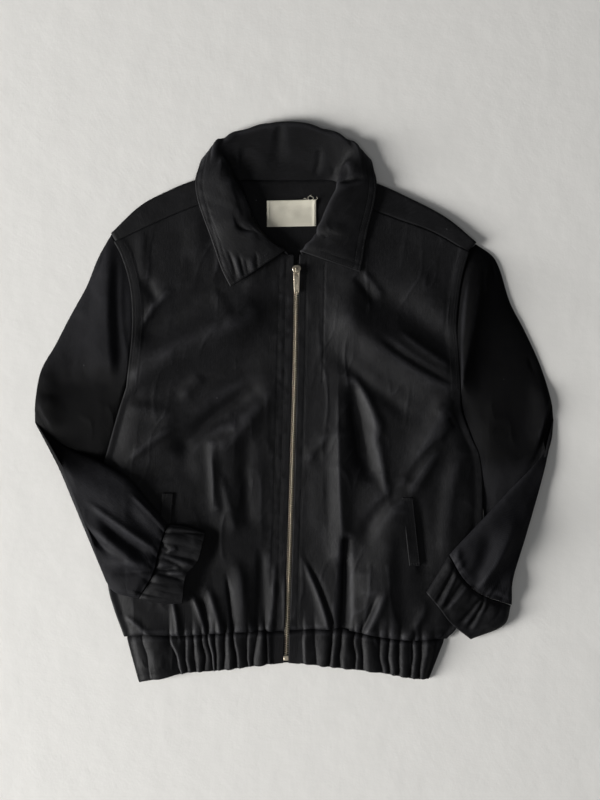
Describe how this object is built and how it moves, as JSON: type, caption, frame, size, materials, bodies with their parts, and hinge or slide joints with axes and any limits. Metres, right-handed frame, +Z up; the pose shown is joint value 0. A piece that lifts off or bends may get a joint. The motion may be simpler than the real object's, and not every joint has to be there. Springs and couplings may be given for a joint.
{
  "type": "denim jacket",
  "caption": "Child's black denim blouson with a zip front, turn-down collar, welt pockets, gathered cuffs and hem, laid flat with its forearms folded in.",
  "frame": {"origin": "centre of the jacket's outline, on the surface that it lies on", "axes": "+Z up from the surface, +Y from the hem to the collar, +X to the wearer's left"},
  "size_m": [0.5255, 0.5603, 0.0176],
  "materials": {
    "denim": "matt black cotton denim twill with a slight sheen",
    "zip_tape": "matt black woven zip tape",
    "label": "cream woven ribbon",
    "brass": "antique brass, satin"
  },
  "bodies": {
    "jacket": {"back": "denim", "front_right": "denim", "front_left": "denim", "sleeve_right": "denim", "sleeve_left": "denim", "cuff_right": "denim", "cuff_left": "denim", "hem_front_right": "denim", "hem_front_left": "denim", "hem_back": "denim", "collar": "denim", "pocket_welt_right": "denim", "pocket_welt_left": "denim", "zip_tape_right": "zip_tape", "zip_tape_left": "zip_tape", "neck_label": "label", "zip_teeth": "brass", "zip_bottom_stop": "brass", "zip_slider": "brass"},
    "pull_tab": {"zip_pull_tab": "brass"}
  },
  "joints": [
    {"name": "pull_tab_swing", "type": "hinge", "parent": "jacket", "child": "pull_tab", "pos_m": [0.00218, 0.13, 0.0085], "axis": [-1, 0, 0], "range_deg": [0, 160]}
  ]
}
